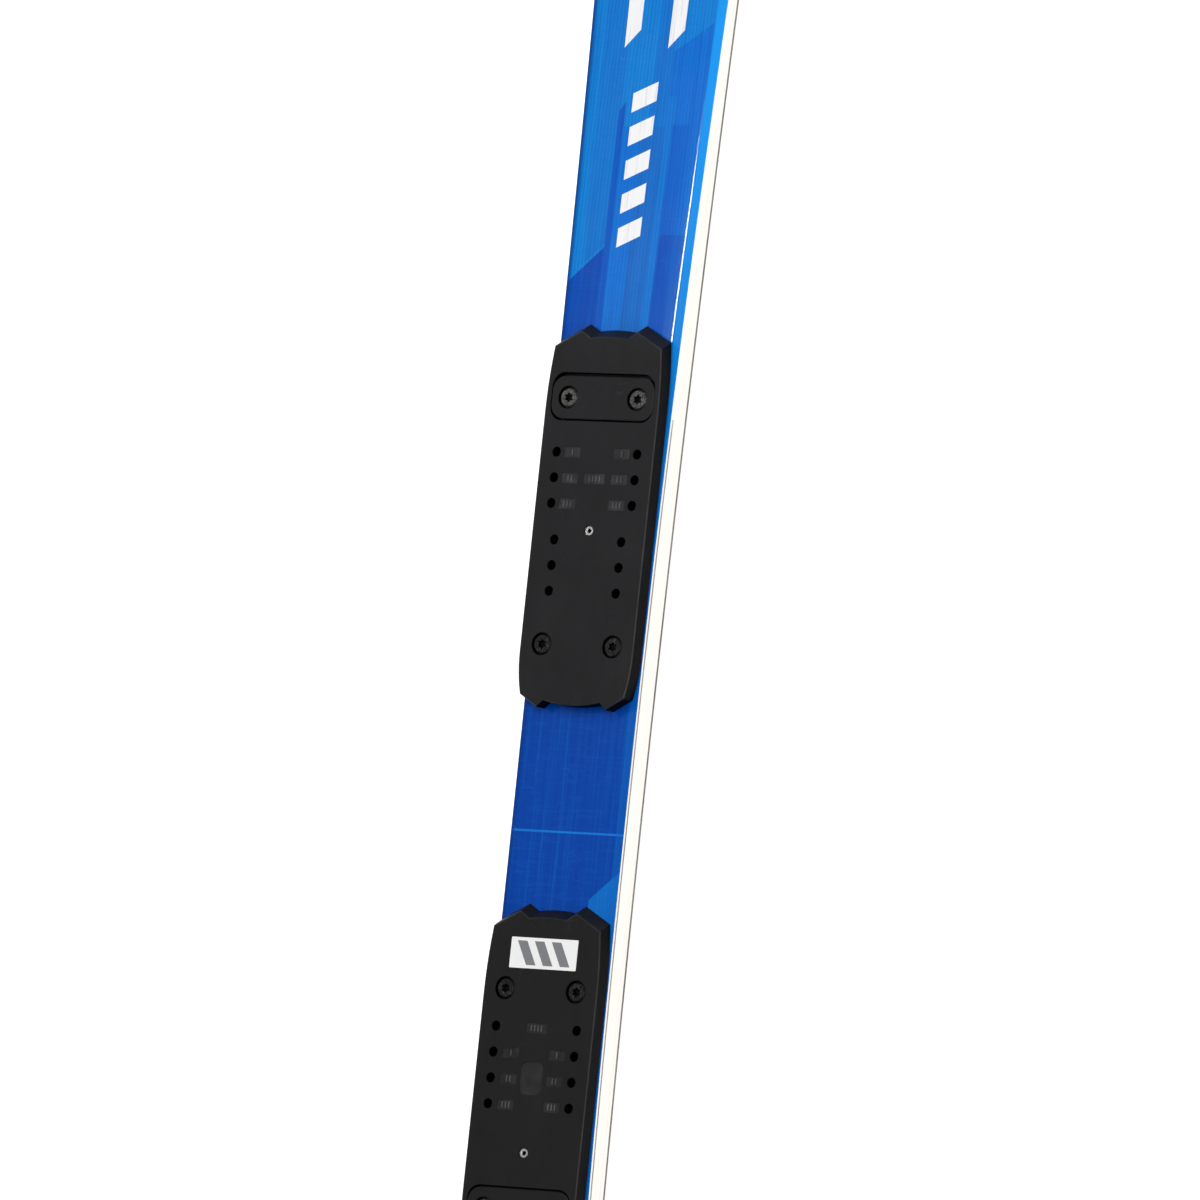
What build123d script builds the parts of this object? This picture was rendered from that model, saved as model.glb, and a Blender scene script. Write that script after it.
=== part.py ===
from build123d import *
from math import radians, sin, sqrt
import os

os.makedirs("parts", exist_ok=True)

# An alpine race ski with split binding plates, in millimetres.
# +X points to the tip, +Z up, the origin lies under the middle of the ski on the snow.

# ---------------------------------------------------------------- ski outline
ski_length = 1650.0
waist_width = 66.7          # over the steel edges, at the narrowest place
sidecut_radius = 15500.0
shovel_flare = 4.4          # extra half width that a plain arc leaves out at the shovel
tail_flare = 2.0
mark_x = -75.0              # boot-centre mark on the topsheet
waist_x = -80.0
nose_length = 170.0         # widest place of the shovel to the point of the tip
tail_length = 80.0          # widest place of the tail to its end
tail_corner_radius = 24.0
crest_length = 60.0         # rounding of the sidecut into the widest place
crest_drop = 2.5

# ---------------------------------------------------------------- side view
camber = 2.5
tip_rise = 45.0
tail_rise = 8.0
shovel_run = 135.0          # length of the upturned tip, from the snow contact
tail_run = 65.0
mid_thickness = 13.5
end_thickness = 4.5
taper_distance = 401.0      # from the boot mark to where the taper is half done
taper_power = 3.4

# ---------------------------------------------------------------- layers
base_thickness = 1.2
edge_height = 1.6
edge_width = 2.0
edge_anchor_reach = 6.0     # how far the steel edge's anchor reaches inwards
damping_strip = 0.3
sheet_margin = 2.5          # lower metal sheet stays this far inside the outline
metal_sheet = 0.4
glass_sheet = 0.4
topsheet_thickness = 0.5
reinforcement_thickness = 0.8
sidewall_width = 7.5
sidewall_lean = 0.115       # inward lean of the sidewall per mm of height
stringer_width = 11.0
edge_tip_gap = 90.0         # steel edge stops this far behind the point of the tip
core_tip_gap = 185.0
core_tail_gap = 65.0
tail_protector_length = 35.0   # the steel edge stops at the protector
reinforcement_front = 240.0  # ahead of the boot mark
reinforcement_back = 228.0   # behind the boot mark

# milled line along the sidewall beside the binding
groove_depth_below_top = 1.5
groove_width = 1.0
groove_inset = 1.8
groove_front = 200.0
groove_back = 215.0

# ---------------------------------------------------------------- binding plates
plate_width = 64.2
plate_height = 8.4
plate_bevel = 0.5
pad_thickness = 0.6
pad_margin = 1.0
front_plate_tip = 246.8     # ahead of the mark
front_plate_heel = 59.1
rear_plate_tip = -35.3      # behind the mark
rear_plate_heel = -220.8
end_slope = 4.6             # how far a sloping end leans inwards over the height

screw_spacing = 40.0
front_fixed_x = 89.6
rear_fixed_x = -77.3
front_anchor_x = 209.8
rear_anchor_x = -183.8
screw_shank_radius = 2.75
screw_head_radius = 4.9
screw_head_height = 2.4
screw_recess_radius = 5.65
screw_recess_depth = 3.0
screw_bite = 8.5            # length of thread in the ski
drive_radius = 2.4          # six-lobed drive
drive_depth = 1.6
thread_clearance = 0.05

anchor_length = 20.9
anchor_height = 5.0
anchor_corner = 7.0
anchor_screw_inset = 9.3    # from an anchor's end to its screw
anchor_travel_out = 1.5     # towards the ski's end
anchor_travel_in = 0.7      # towards the boot
stop_clearance = 0.3
side_clearance = 0.4
pocket_wall = 2.9           # left of the plate beside an anchor's pocket
boss_radius = 4.5
bearing_gap = 0.3           # an anchor slides this far above its pocket's floor

hole_radius = 2.5
hole_floor = 1.4            # left below a blind binding hole
row_pitch = 12.5
wide_hole_spacing = 45.7
narrow_hole_spacing = 38.0
front_wide_first_x = 183.1
front_narrow_first_x = 140.4
rear_first_x = -95.8

pin_radius = 2.3
pin_bore_radius = 1.1
pin_length = 6.0
pin_recess_radius = 3.0
pin_recess_depth = 0.5
front_pin_x = 145.3
rear_pin_x = -156.0

label_length = 5.1
label_width = 9.3
middle_label_width = 11.9
label_depth = 0.3
label_corner = 0.4
front_label_offset = 8.9    # from a hole's centre to its label's centre
rear_label_offset = 9.9
worn_pad_length = 16.0
worn_pad_width = 12.5
worn_pad_corner = 3.5
worn_pad_x = -120.0
badge_length = 14.9
badge_width = 37.6
badge_thickness = 0.6
badge_seat_depth = 0.3
badge_x = -59.9

# ---------------------------------------------------------------- derived places
half_length = ski_length / 2
shovel_x = half_length - nose_length
tail_x = tail_length - half_length
contact_front = half_length - shovel_run
contact_back = tail_run - half_length
edge_front = half_length - edge_tip_gap
edge_back = tail_protector_length - half_length
core_front = half_length - core_tip_gap
core_back = core_tail_gap - half_length
strip_height = edge_height + damping_strip
core_floor = strip_height + metal_sheet
station_pitch = 33.0
zone = (mark_x - reinforcement_back, mark_x + reinforcement_front)
nose_blunt = sin(radians(85))   # the point of the tip is a few millimetres wide


def sidecut(x):
    """Half width of the sidecut: an arc that flares a little towards both ends."""
    run = x - waist_x
    ahead = run > 0
    reach = shovel_x - waist_x if ahead else waist_x - tail_x
    flare = shovel_flare if ahead else tail_flare
    crest = max(0.0, x - (shovel_x - crest_length)) / crest_length
    arc = waist_width / 2 + run**2 / (2 * sidecut_radius)
    return arc + flare * (abs(run) / reach) ** 6 - crest_drop * crest**2


def half_width(x):
    """Half width over the steel edges, with the round nose and the round tail corners."""
    if x > shovel_x:
        along = ((x - shovel_x) / nose_length) ** 1.18 * nose_blunt
        return sidecut(shovel_x) * (1 - along**2) ** 0.6
    corner = max(0.0, tail_corner_radius - (x + half_length))
    return sidecut(x) - tail_corner_radius + sqrt(tail_corner_radius**2 - corner**2)


def base_height(x):
    """Height of the running surface: camber between the contacts, rising at both ends."""
    middle = (contact_front + contact_back) / 2
    half_span = (contact_front - contact_back) / 2
    if x > contact_front:
        return tip_rise * ((x - contact_front) / shovel_run) ** 2.2
    if x < contact_back:
        return tail_rise * ((contact_back - x) / tail_run) ** 2.2
    return camber * (1 - ((x - middle) / half_span) ** 2) ** 2


def thickness(x):
    """Thickness of the ski: full at the binding, thinning smoothly to both ends."""
    taper = (abs(x - mark_x) / taper_distance) ** taper_power
    return end_thickness + (mid_thickness - end_thickness) / (1 + taper)


def top_height(x):
    """Height of the ski's top."""
    return base_height(x) + thickness(x)


def top_half_width(x):
    """Half width of the topsheet, which the leaning sidewall brings in from the edge."""
    return half_width(x) - sidewall_lean * (thickness(x) - edge_height)


def all_stations():
    """Places of the cross-sections, shared by every layer so that their faces meet."""
    ends = {core_back, core_front, edge_back, edge_front, *zone, -half_length, half_length}
    tail = [tail_corner_radius * (step / 5) ** 2 - half_length for step in range(1, 6)]
    nose = [half_length - nose_length * (1 - step / 14) ** 1.8 for step in range(14)]
    count = round((shovel_x - tail[-1]) / station_pitch)
    pitch = (shovel_x - tail[-1]) / count
    middle = [tail[-1] + pitch * i for i in range(1, count)]
    smooth = [x for x in tail + middle + nose if min(abs(x - end) for end in ends) > 1]
    return sorted([*ends, *smooth])


def strip(section, start, end):
    """One long piece: its cross-section corners (y, z) at each station, lofted."""
    inner = [x for x in all_stations() if start + 0.01 < x < end - 0.01]
    with BuildPart() as piece:
        for x in [start, *inner, end]:
            with BuildSketch(Plane.YZ.offset(x)):
                with BuildLine():
                    Polyline(*section(x), close=True)
                make_face()
        loft(ruled=True)
    return piece.part


def sheet(inset, low, high, start, end):
    """A flat layer across the ski, inset from the outline, between two heights at x."""

    def section(x):
        y = half_width(x) - inset
        return [(-y, low(x)), (y, low(x)), (y, high(x)), (-y, high(x))]

    return strip(section, start, end)


def above_base(offset):
    """Height curve a fixed distance above the running surface."""
    return lambda x: base_height(x) + offset


def below_top(offset):
    """Height curve a fixed distance below the ski's top."""
    return lambda x: top_height(x) - offset


def finish(piece, name):
    """Label a finished piece and write its file."""
    piece.part.label = name
    export_step(piece.part, f"parts/{name}.step")


# ---------------------------------------------------------------- plate and screw places
plate_floor = top_height(mark_x) + pad_thickness
plate_top = plate_floor + plate_height
anchor_floor = plate_top - anchor_height
anchor_slack = anchor_travel_out + anchor_travel_in + 2 * stop_clearance
anchor_width = plate_width - 2 * (pocket_wall + side_clearance)
anchor_screw_spacing = anchor_width - 2 * anchor_screw_inset


def pair(x, spacing):
    """Two places across the ski, x ahead of the boot mark."""
    return [(mark_x + x, spacing / 2), (mark_x + x, -spacing / 2)]


def travel_middle(x):
    """Shift of a slot or pocket: an anchor has more room towards the ski's end."""
    outwards = 1 if x > 0 else -1
    return outwards * (anchor_travel_out - anchor_travel_in) / 2


def anchor_slots(x, radius):
    """Two slots that give an anchor's screw or boss room to travel."""
    with BuildSketch() as slots:
        with Locations(*pair(x + travel_middle(x), anchor_screw_spacing)):
            SlotCenterToCenter(anchor_slack, 2 * radius)
    return slots.sketch


# Room in the ski for the screws: round holes at the fixed ends, slots below the anchors.
with BuildPart() as screw_ways:
    with BuildSketch(Plane.XY.offset(plate_floor)):
        with Locations(*pair(front_fixed_x, screw_spacing), *pair(rear_fixed_x, screw_spacing)):
            Circle(screw_shank_radius + thread_clearance)
        add(anchor_slots(front_anchor_x, screw_shank_radius + stop_clearance))
        add(anchor_slots(rear_anchor_x, screw_shank_radius + stop_clearance))
    extrude(amount=-(pad_thickness + screw_bite + 1))

# ---------------------------------------------------------------- base and steel edges
with BuildPart() as base:
    add(sheet(edge_width, above_base(0), above_base(base_thickness), edge_back, edge_front))
    add(sheet(0, above_base(0), above_base(base_thickness), -half_length, edge_back))
    add(sheet(0, above_base(0), above_base(base_thickness), edge_front, half_length))
finish(base, "base")


def edge_section(side):
    """L-shaped steel edge: a square blade outside, a thin anchor flange inside."""

    def section(x):
        low, step, high = (base_height(x) + h for h in (0, base_thickness, edge_height))
        outer, blade, anchor = (half_width(x) - w for w in (0, edge_width, edge_anchor_reach))
        corners = [(outer, low), (outer, high), (anchor, high), (anchor, step), (blade, step), (blade, low)]
        return [(side * y, z) for y, z in corners]

    return section


def damping_section(side):
    """Rubber strip that lies on the edge's anchor flange."""

    def section(x):
        low, high = base_height(x) + edge_height, base_height(x) + strip_height
        outer, inner = half_width(x) - sheet_margin, half_width(x) - edge_anchor_reach
        return [(side * y, z) for y, z in ((outer, low), (outer, high), (inner, high), (inner, low))]

    return section


def sidewall_section(side):
    """White sidewall: leaning outer face, with a lip down to the steel edge."""

    def section(x):
        lip, floor, top = base_height(x) + edge_height, base_height(x) + core_floor, top_height(x)
        top -= topsheet_thickness
        outer, inner, rebate = (half_width(x) - w for w in (0, sidewall_width, sheet_margin))
        crown = top_half_width(x)
        corners = [(outer, lip), (crown, top), (inner, top), (inner, floor), (rebate, floor), (rebate, lip)]
        return [(side * y, z) for y, z in corners]

    return section


def groove_section(side):
    """Cutter for the thin line milled along the sidewall beside the binding."""

    def section(x):
        high = top_height(x) - groove_depth_below_top
        low = high - groove_width
        inner, outer = half_width(x) - groove_inset, half_width(x) + 1
        return [(side * y, z) for y, z in ((inner, low), (inner, high), (outer, high), (outer, low))]

    return section


for name, side in (("left", 1), ("right", -1)):
    with BuildPart() as steel_edge:
        add(strip(edge_section(side), edge_back, edge_front))
    finish(steel_edge, f"steel_edge_{name}")

    with BuildPart() as sidewall:
        add(strip(sidewall_section(side), core_back, core_front))
        groove = strip(groove_section(side), mark_x - groove_back, mark_x + groove_front)
        add(groove, mode=Mode.SUBTRACT)
        add(screw_ways.part, mode=Mode.SUBTRACT)
    finish(sidewall, f"sidewall_{name}")

with BuildPart() as edge_damping_strips:
    add(strip(damping_section(1), edge_back, edge_front))
    add(strip(damping_section(-1), edge_back, edge_front))
finish(edge_damping_strips, "edge_damping_strips")

# ---------------------------------------------------------------- lower sheets
with BuildPart() as lower_glass_laminate:
    low, high = above_base(base_thickness), above_base(strip_height)
    add(sheet(edge_anchor_reach, low, high, edge_back, edge_front))
finish(lower_glass_laminate, "lower_glass_laminate")

with BuildPart() as lower_metal_sheet:
    add(sheet(sheet_margin, above_base(strip_height), above_base(core_floor), edge_back, edge_front))
finish(lower_metal_sheet, "lower_metal_sheet")

# ---------------------------------------------------------------- wood core
glass_top = topsheet_thickness + glass_sheet
core_top = glass_top + metal_sheet
reinforcement_low = below_top(core_top + reinforcement_thickness)

with BuildPart() as reinforcement_room:
    add(sheet(0, reinforcement_low, below_top(0), *zone))


def stringer(inner_at, outer_at):
    """One upright lamination of the core, between two distances from the middle."""

    def section(x):
        low, high = base_height(x) + core_floor, top_height(x) - core_top
        return [(inner_at(x), low), (outer_at(x), low), (outer_at(x), high), (inner_at(x), high)]

    with BuildPart() as lath:
        add(strip(section, core_back, core_front))
        add(reinforcement_room.part, mode=Mode.SUBTRACT)
        add(screw_ways.part, mode=Mode.SUBTRACT)
    return lath.part


def core_side(x):
    """Where the core meets the sidewall."""
    return half_width(x) - sidewall_width


middle_half = stringer_width / 2
ash_outer = middle_half + stringer_width

with BuildPart() as core_poplar_stringers:
    add(stringer(lambda x: -middle_half, lambda x: middle_half))
    add(stringer(lambda x: ash_outer, core_side))
    add(stringer(lambda x: -core_side(x), lambda x: -ash_outer))
finish(core_poplar_stringers, "core_poplar_stringers")

with BuildPart() as core_ash_stringers:
    add(stringer(lambda x: middle_half, lambda x: ash_outer))
    add(stringer(lambda x: -ash_outer, lambda x: -middle_half))
finish(core_ash_stringers, "core_ash_stringers")

with BuildPart() as binding_reinforcement:
    add(sheet(sidewall_width, reinforcement_low, below_top(core_top), *zone))
    add(screw_ways.part, mode=Mode.SUBTRACT)
finish(binding_reinforcement, "binding_reinforcement")

# ---------------------------------------------------------------- upper sheets
with BuildPart() as upper_metal_sheet:
    add(sheet(sidewall_width, below_top(core_top), below_top(glass_top), core_back, core_front))
    add(screw_ways.part, mode=Mode.SUBTRACT)
finish(upper_metal_sheet, "upper_metal_sheet")

with BuildPart() as upper_glass_laminate:
    low, high = below_top(glass_top), below_top(topsheet_thickness)
    add(sheet(sidewall_width, low, high, core_back, core_front))
    add(screw_ways.part, mode=Mode.SUBTRACT)
finish(upper_glass_laminate, "upper_glass_laminate")


def topsheet_section(x):
    """Thin blue top layer, as wide as the crown of the sidewalls."""
    y, low, high = top_half_width(x), top_height(x) - topsheet_thickness, top_height(x)
    return [(-y, low), (y, low), (y, high), (-y, high)]


with BuildPart() as topsheet:
    add(strip(topsheet_section, -half_length, half_length))
    add(screw_ways.part, mode=Mode.SUBTRACT)
finish(topsheet, "topsheet")

# ---------------------------------------------------------------- tip and tail fillings


def rebated_section(x):
    """Spacer beside the core: full width, rebated below for the lower sheets."""
    lip, floor, top = base_height(x) + edge_height, base_height(x) + core_floor, top_height(x)
    half = [
        (top_half_width(x), top - topsheet_thickness),
        (half_width(x), lip),
        (half_width(x) - sheet_margin, lip),
        (half_width(x) - sheet_margin, floor),
    ]
    return half + [(-y, z) for y, z in reversed(half)]


def solid_section(x):
    """Filling beyond the steel edges, from the base to the topsheet."""
    low, high = base_height(x) + base_thickness, top_height(x) - topsheet_thickness
    outer, crown = half_width(x), top_half_width(x)
    return [(-outer, low), (outer, low), (crown, high), (-crown, high)]


with BuildPart() as tip_spacer:
    add(strip(rebated_section, core_front, edge_front))
    add(strip(solid_section, edge_front, half_length))
finish(tip_spacer, "tip_spacer")

with BuildPart() as tail_spacer:
    add(strip(rebated_section, edge_back, core_back))
finish(tail_spacer, "tail_spacer")

with BuildPart() as tail_protector:
    add(strip(solid_section, -half_length, edge_back))
finish(tail_protector, "tail_protector")

# ---------------------------------------------------------------- binding plates


def sloped_end(x, facing, lean, draw):
    """Corners of a plate end with two ears and a shallow bay: leaning, and drawn in all round."""
    half = plate_width / 2 - draw
    points = [(40.0, half), (22.0, half - 0.6), (7.8, half - 1.9), (0.0, 15.9), (3.4, 10.3), (2.6, 0.0)]
    return [(mark_x + x - facing * (along + lean + draw), y) for along, y in points]


def blunt_end(x, facing, lean, draw):
    """Corners of an upright plate end, whose ears stand further apart."""
    half = plate_width / 2 - draw
    points = [(27.0, half), (16.5, half - 0.6), (5.9, half - 2.6), (0.0, 19.6), (3.3, 16.1), (1.3, 0.0)]
    return [(mark_x + x - facing * (along + draw), y) for along, y in points]


def plate_outline(tip, heel, heel_end, height, lean=0.0, draw=0.0):
    """Closed outline of a plate at a height."""
    ends = [sloped_end(tip, 1, lean, draw), heel_end(heel, -1, lean, draw)]
    with BuildSketch(Plane.XY.offset(height)) as outline:
        with BuildLine():
            for side_end, side_mid, shoulder, ear, bay, bay_mid in ends:
                ThreePointArc(side_end, side_mid, shoulder)
                Polyline(shoulder, ear, bay)
                ThreePointArc(bay, bay_mid, (bay[0], -bay[1]))
                Polyline((bay[0], -bay[1]), (ear[0], -ear[1]), (shoulder[0], -shoulder[1]))
                ThreePointArc(*[(x, -y) for x, y in (shoulder, side_mid, side_end)])
            for side in (1, -1):
                Line(*[(end[0][0], side * end[0][1]) for end in ends])
        make_face()
    return outline.sketch


def plate_body(tip, heel, heel_end):
    """Moulded plate: upright sides, leaning ends and a narrow bevel round the top."""
    rim = plate_height - plate_bevel
    rim_lean = end_slope * rim / plate_height
    with BuildPart() as body:
        low = plate_outline(tip, heel, heel_end, plate_floor)
        high = plate_outline(tip, heel, heel_end, plate_floor + rim, rim_lean)
        crown = plate_outline(tip, heel, heel_end, plate_top, end_slope, plate_bevel)
        loft(sections=[low, high, crown], ruled=True)
    return body.part


def pocket(x):
    """Pocket for a floating anchor, with slots for its bosses through the floor."""
    length = anchor_length + anchor_slack
    middle = mark_x + x + travel_middle(x)
    with BuildPart() as room:
        with BuildSketch(Plane.XY.offset(plate_top)):
            with Locations((middle, 0)):
                RectangleRounded(length, anchor_width + 2 * side_clearance, anchor_corner)
        extrude(amount=-anchor_height)
        with BuildSketch(Plane.XY.offset(anchor_floor)):
            add(anchor_slots(x, boss_radius + side_clearance))
        extrude(amount=-(plate_height + pad_thickness))
    return room.part


def recesses(places, depth, length, width, corner=label_corner):
    """Shallow rounded recesses in a plate's top."""
    with BuildPart() as cut:
        with BuildSketch(Plane.XY.offset(plate_top)):
            with Locations(*places):
                RectangleRounded(length, width, corner)
        extrude(amount=-depth)
    return cut.part


def screw_seats(places):
    """Counterbored screw holes, from the plate's top down through its floor."""
    with BuildPart() as seats:
        with BuildSketch(Plane.XY.offset(plate_top)):
            with Locations(*places):
                Circle(screw_recess_radius)
        extrude(amount=-screw_recess_depth)
        with BuildSketch(Plane.XY.offset(plate_top)):
            with Locations(*places):
                Circle(screw_shank_radius + thread_clearance)
        extrude(amount=-(plate_height + pad_thickness + 1))
    return seats.part


def binding_holes(places):
    """Blind holes for the binding's own screws."""
    with BuildPart() as holes:
        with BuildSketch(Plane.XY.offset(plate_top)):
            with Locations(*places):
                Circle(hole_radius)
        extrude(amount=hole_floor - plate_height)
    return holes.part


def pin_seat(x):
    """Stepped hole of the hollow pin."""
    with BuildPart() as seat:
        with BuildSketch(Plane.XY.offset(plate_top)):
            with Locations((mark_x + x, 0)):
                Circle(pin_recess_radius)
        extrude(amount=-pin_recess_depth)
        with BuildSketch(Plane.XY.offset(plate_top)):
            with Locations((mark_x + x, 0)):
                Circle(pin_radius)
        extrude(amount=-(pin_recess_depth + pin_length))
    return seat.part


def hollow_pin(x):
    """Hollow metal pin pressed into the plate."""
    with BuildPart() as pin:
        with BuildSketch(Plane.XY.offset(plate_top - pin_recess_depth)):
            with Locations((mark_x + x, 0)):
                Circle(pin_radius)
                Circle(pin_bore_radius, mode=Mode.SUBTRACT)
        extrude(amount=-pin_length)
        chamfer(pin.edges().group_by(Axis.Z)[-1], length=0.25)
    return pin


def screws(places):
    """Pan-head screws with a six-lobed drive, seated in their recesses."""
    head_floor = plate_top - screw_recess_depth
    tip_z = plate_floor - pad_thickness - screw_bite
    with BuildPart() as group:
        with BuildSketch(Plane.XY.offset(head_floor)):
            with Locations(*places):
                Circle(screw_head_radius)
        extrude(amount=screw_head_height)
        chamfer(group.edges().group_by(Axis.Z)[-1], length=0.7)
        with BuildSketch(Plane.XY.offset(head_floor)):
            with Locations(*places):
                Circle(screw_shank_radius)
        extrude(amount=tip_z - head_floor)
        chamfer(group.edges().group_by(Axis.Z)[0], length=1.2)
        with BuildSketch(Plane.XY.offset(head_floor + screw_head_height)):
            with Locations(*places):
                Circle(drive_radius * 0.72)
                with PolarLocations(drive_radius * 0.7, 6):
                    Circle(drive_radius * 0.3)
        extrude(amount=-drive_depth, mode=Mode.SUBTRACT)
    return group


def plate_pad(tip, heel, heel_end, places, anchor_x):
    """Elastomer pad between the ski's curved top and the plate's flat underside."""
    start, end = (mark_x + x for x in sorted((tip, heel)))
    places_x = [start, *[x for x in all_stations() if start < x < end], end]
    with BuildPart() as pad:
        with BuildSketch(Plane.XZ):
            with BuildLine():
                Polyline(*[(x, top_height(x)) for x in places_x])
                Polyline((start, top_height(start)), (start, plate_floor), (end, plate_floor))
                Line((end, plate_floor), (end, top_height(end)))
            make_face()
        extrude(amount=plate_width, both=True)
        with BuildPart(mode=Mode.PRIVATE) as room:
            add(plate_outline(tip, heel, heel_end, 0, draw=pad_margin))
            extrude(amount=plate_top)
        add(room.part, mode=Mode.INTERSECT)
        add(screw_seats(places), mode=Mode.SUBTRACT)
        with BuildSketch(Plane.XY.offset(plate_floor)):
            add(anchor_slots(anchor_x, boss_radius + side_clearance))
        extrude(amount=-mid_thickness, mode=Mode.SUBTRACT)
    return pad


def anchor(x):
    """Floating bar with two bosses that carry its screws down to the ski."""
    places = pair(x, anchor_screw_spacing)
    with BuildPart() as bar:
        with BuildSketch(Plane.XY.offset(anchor_floor + bearing_gap)):
            with Locations((mark_x + x, 0)):
                RectangleRounded(anchor_length, anchor_width, anchor_corner)
        extrude(amount=anchor_height - bearing_gap)
        chamfer(bar.edges().group_by(Axis.Z)[-1], length=0.4)
        with BuildSketch(Plane.XY.offset(anchor_floor + bearing_gap)):
            with Locations(*places):
                Circle(boss_radius)
        extrude(amount=plate_floor - anchor_floor - bearing_gap)
        add(screw_seats(places), mode=Mode.SUBTRACT)
    return bar


def rows(first, count, spacing):
    """Rows of two holes, one pitch apart, going back from the first."""
    return [place for i in range(count) for place in pair(first - i * row_pitch, spacing)]


def labels(first, marked_rows, offset):
    """Places of the index recesses beside the holes of the marked rows."""
    spacing = wide_hole_spacing - 2 * offset
    return [place for row in marked_rows for place in pair(first - row * row_pitch, spacing)]


front_holes = rows(front_wide_first_x, 3, wide_hole_spacing)
front_holes += rows(front_narrow_first_x, 3, narrow_hole_spacing)
front_labels = labels(front_wide_first_x, range(3), front_label_offset)
front_middle_label = [(mark_x + front_wide_first_x - row_pitch, 0)]
with BuildPart() as front_plate:
    add(plate_body(front_plate_tip, front_plate_heel, blunt_end))
    add(pocket(front_anchor_x), mode=Mode.SUBTRACT)
    add(screw_seats(pair(front_fixed_x, screw_spacing)), mode=Mode.SUBTRACT)
    add(binding_holes(front_holes), mode=Mode.SUBTRACT)
    add(pin_seat(front_pin_x), mode=Mode.SUBTRACT)
    add(recesses(front_labels, label_depth, label_length, label_width), mode=Mode.SUBTRACT)
    add(recesses(front_middle_label, label_depth, label_length, middle_label_width), mode=Mode.SUBTRACT)
finish(front_plate, "front_plate")

rear_holes = rows(rear_first_x, 4, wide_hole_spacing)
rear_labels = labels(rear_first_x, range(1, 4), rear_label_offset)
rear_middle_label = [(mark_x + rear_first_x, 0)]
with BuildPart() as rear_plate:
    add(plate_body(rear_plate_tip, rear_plate_heel, sloped_end))
    add(pocket(rear_anchor_x), mode=Mode.SUBTRACT)
    add(screw_seats(pair(rear_fixed_x, screw_spacing)), mode=Mode.SUBTRACT)
    add(binding_holes(rear_holes), mode=Mode.SUBTRACT)
    add(pin_seat(rear_pin_x), mode=Mode.SUBTRACT)
    add(recesses(rear_labels, label_depth, label_length, label_width), mode=Mode.SUBTRACT)
    add(recesses(rear_middle_label, label_depth, label_length, middle_label_width), mode=Mode.SUBTRACT)
    pad_place, badge_place = [(mark_x + worn_pad_x, 0)], [(mark_x + badge_x, 0)]
    worn_pad = recesses(pad_place, label_depth, worn_pad_length, worn_pad_width, worn_pad_corner)
    add(worn_pad, mode=Mode.SUBTRACT)
    add(recesses(badge_place, badge_seat_depth, badge_length, badge_width), mode=Mode.SUBTRACT)
finish(rear_plate, "rear_plate")

with BuildPart() as rear_badge:
    with BuildSketch(Plane.XY.offset(plate_top - badge_seat_depth)):
        with Locations(*badge_place):
            RectangleRounded(badge_length, badge_width, label_corner)
    extrude(amount=badge_thickness)
finish(rear_badge, "rear_badge")

for name, tip, heel, heel_end, fixed_x, anchor_x, pin_x in (
    ("front", front_plate_tip, front_plate_heel, blunt_end, front_fixed_x, front_anchor_x, front_pin_x),
    ("rear", rear_plate_tip, rear_plate_heel, sloped_end, rear_fixed_x, rear_anchor_x, rear_pin_x),
):
    fixed_places = pair(fixed_x, screw_spacing)
    finish(plate_pad(tip, heel, heel_end, fixed_places, anchor_x), f"{name}_plate_pad")
    finish(screws(fixed_places), f"{name}_fixed_screws")
    finish(anchor(anchor_x), f"{name}_anchor")
    finish(screws(pair(anchor_x, anchor_screw_spacing)), f"{name}_anchor_screws")
    finish(hollow_pin(pin_x), f"{name}_plate_pin")
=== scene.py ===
from math import cos, pi, radians, sin, sqrt
import bmesh
import bpy
from mathutils import Matrix, Vector


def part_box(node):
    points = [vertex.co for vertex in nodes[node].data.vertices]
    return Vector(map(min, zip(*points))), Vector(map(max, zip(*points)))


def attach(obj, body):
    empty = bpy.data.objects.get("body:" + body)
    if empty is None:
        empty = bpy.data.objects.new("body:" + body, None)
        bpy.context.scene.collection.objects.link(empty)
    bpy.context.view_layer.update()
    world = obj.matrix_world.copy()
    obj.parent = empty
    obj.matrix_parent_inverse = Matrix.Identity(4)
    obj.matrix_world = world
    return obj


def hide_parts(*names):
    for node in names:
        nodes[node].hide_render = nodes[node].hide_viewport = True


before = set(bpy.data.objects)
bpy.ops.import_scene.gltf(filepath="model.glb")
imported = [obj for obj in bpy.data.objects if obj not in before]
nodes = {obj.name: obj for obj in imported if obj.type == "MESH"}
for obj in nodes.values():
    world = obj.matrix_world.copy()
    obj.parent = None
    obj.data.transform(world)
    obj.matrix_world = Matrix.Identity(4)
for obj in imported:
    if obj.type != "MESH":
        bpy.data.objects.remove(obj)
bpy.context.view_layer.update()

mm = 0.001

# ---------------------------------------------------------------- camera, floor and light
# A long lens stands high over the right-hand side of the ski and looks along both binding plates.
# The floor is a pale glowing table. The large soft boxes stay clear of the topsheet's mirror direction,
# and only a short strip light is mirrored, by the topsheet's shoulder.
camera_place = Vector((-0.55515, -3.20490, 5.13530))
camera_aim = Vector((0.03798, -0.00534, 0.01659))
picture_up = Vector((0.98976, 0.03704, 0.13784))
lens_length = 378.04

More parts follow.
